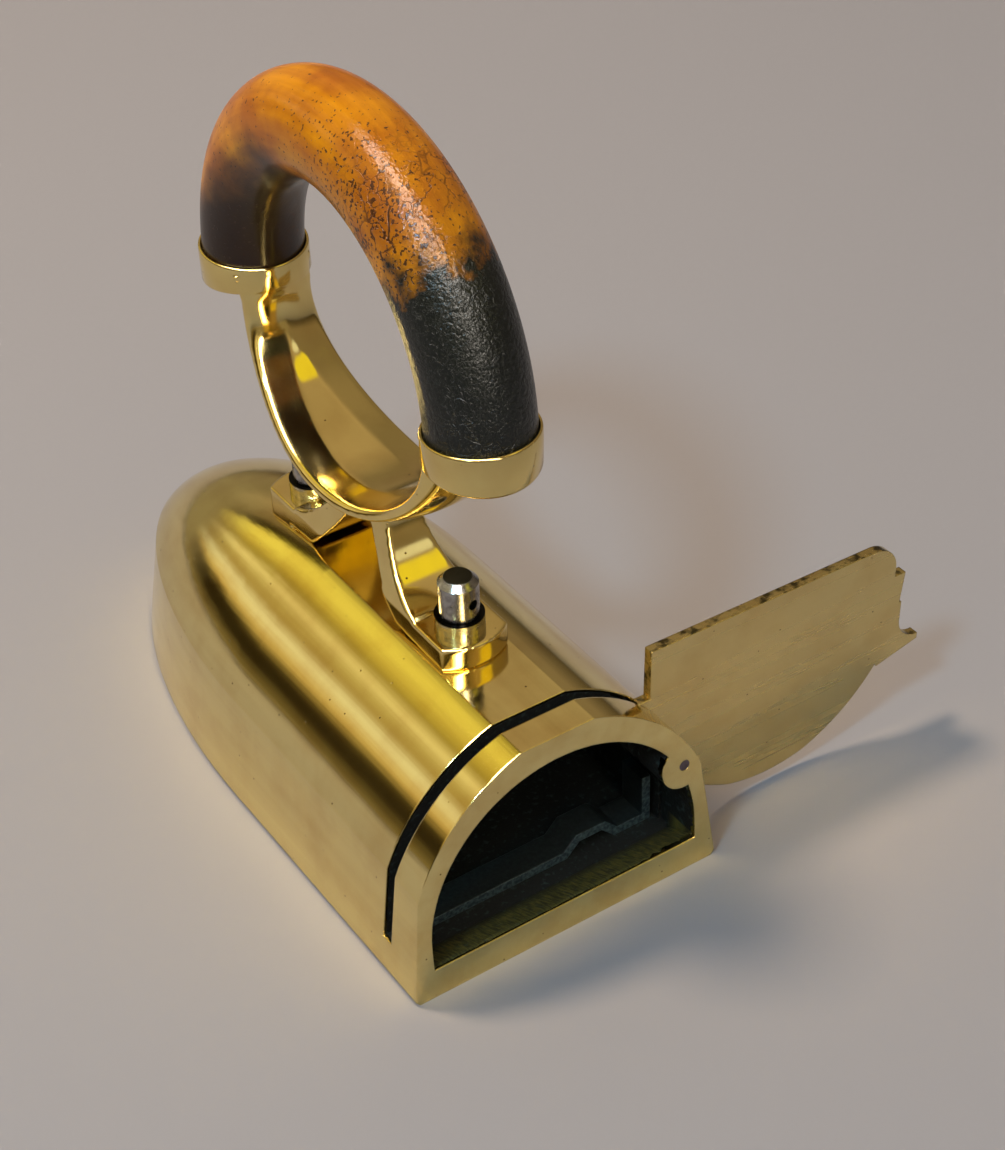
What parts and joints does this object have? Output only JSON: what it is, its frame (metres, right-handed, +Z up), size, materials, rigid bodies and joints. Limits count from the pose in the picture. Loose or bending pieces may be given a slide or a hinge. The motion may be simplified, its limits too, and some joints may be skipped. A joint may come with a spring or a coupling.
{
  "type": "box iron",
  "caption": "Brass box iron with a bullet-nosed hollow body, a pivoting gate at the rear and a bent wooden grip on a cast bracket.",
  "frame": {"origin": "middle of the sole's flat face, half way between the mouth's lower edge and the tip of the nose", "axes": "+X towards the side that carries the gate's pivot, +Y towards the nose, +Z up away from the sole"},
  "size_m": [0.1689, 0.1957, 0.1967],
  "materials": {
    "brass": "cast and polished",
    "iron": "dark, heat scaled",
    "steel": "turned and worn",
    "wood": "varnished, darkened by heat at the rear ferrule"
  },
  "bodies": {
    "iron": {"body_shell": "brass", "rear_slug_rest": "iron", "front_slug_rest": "iron", "gate_pin": "steel", "handle_bracket": "brass", "grip": "wood", "rear_screw": "steel", "front_screw": "steel", "rear_collar": "steel", "front_collar": "steel"},
    "gate": {"gate": "brass"}
  },
  "joints": [
    {"name": "gate_pivot", "type": "hinge", "parent": "iron", "child": "gate", "pos_m": [0.0366, -0.08375, 0.03361], "axis": [0, 1, 0], "range_deg": [-181.3, 0]}
  ]
}
